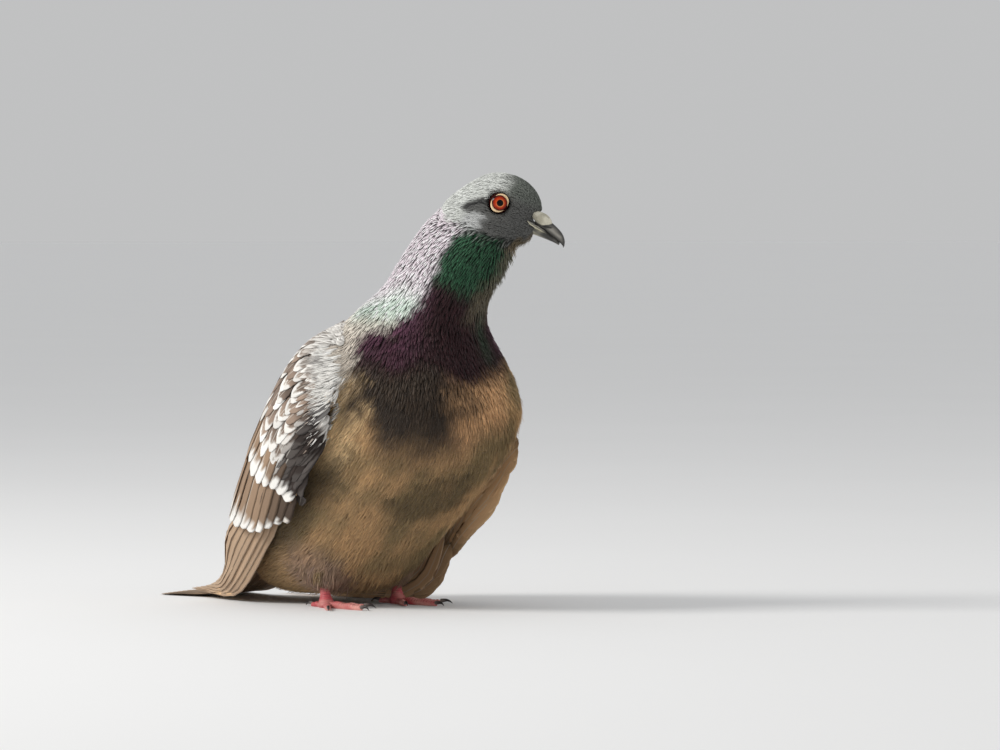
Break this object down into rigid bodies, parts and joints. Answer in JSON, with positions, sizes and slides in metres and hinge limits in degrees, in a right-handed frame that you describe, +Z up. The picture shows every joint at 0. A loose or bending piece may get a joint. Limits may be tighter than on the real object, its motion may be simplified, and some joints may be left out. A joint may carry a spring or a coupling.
{
  "type": "feral pigeon",
  "caption": "Pigeon standing at rest with its head turned to its left and its left wing held low, life size.",
  "frame": {"origin": "on the floor the bird stands on, under the middle of its overall box", "axes": "+Z up, -Y the way the breast faces, +X the bird's own left"},
  "size_m": [0.119, 0.2482, 0.2214],
  "materials": {
    "bill_horn": "dry horn, dark grey with paler edges",
    "cere_skin": "powdery off-white skin",
    "iris": "wet, clear and glossy over red-orange",
    "eye_ring_skin": "soft bare skin, cream",
    "head_feathers": "short velvety feathers, slate grey",
    "neck_feathers": "glossy iridescent feathers, green above and purple below",
    "body_feathers": "soft matt feathers, olive grey-brown",
    "covert_feathers": "smooth feathers, white with taupe checks",
    "secondary_feathers": "smooth feathers, taupe brown with white tips",
    "primary_feathers": "stiff feathers, tan with white shafts",
    "tail_feathers": "stiff feathers, tan",
    "foot_skin": "scaly bare skin, red-pink",
    "claw_horn": "dry horn, dark grey"
  },
  "bodies": {
    "root": {"upper_bill": "bill_horn", "lower_bill": "bill_horn", "cere": "cere_skin", "eye_left": "iris", "eye_ring_left": "eye_ring_skin", "eye_right": "iris", "eye_ring_right": "eye_ring_skin", "wing_coverts_left": "covert_feathers", "wing_secondaries_left": "secondary_feathers", "wing_primaries_left": "primary_feathers", "wing_coverts_right": "covert_feathers", "wing_secondaries_right": "secondary_feathers", "wing_primaries_right": "primary_feathers", "tail": "tail_feathers", "trunk": "body_feathers", "neck": "neck_feathers", "head": "head_feathers", "thigh_left": "body_feathers", "foot_left": "foot_skin", "toe_inner_left": "foot_skin", "claw_inner_left": "claw_horn", "toe_middle_left": "foot_skin", "claw_middle_left": "claw_horn", "toe_outer_left": "foot_skin", "claw_outer_left": "claw_horn", "toe_hind_left": "foot_skin", "claw_hind_left": "claw_horn", "thigh_right": "body_feathers", "foot_right": "foot_skin", "toe_inner_right": "foot_skin", "claw_inner_right": "claw_horn", "toe_middle_right": "foot_skin", "claw_middle_right": "claw_horn", "toe_outer_right": "foot_skin", "claw_outer_right": "claw_horn", "toe_hind_right": "foot_skin", "claw_hind_right": "claw_horn"}
  },
  "joints": []
}
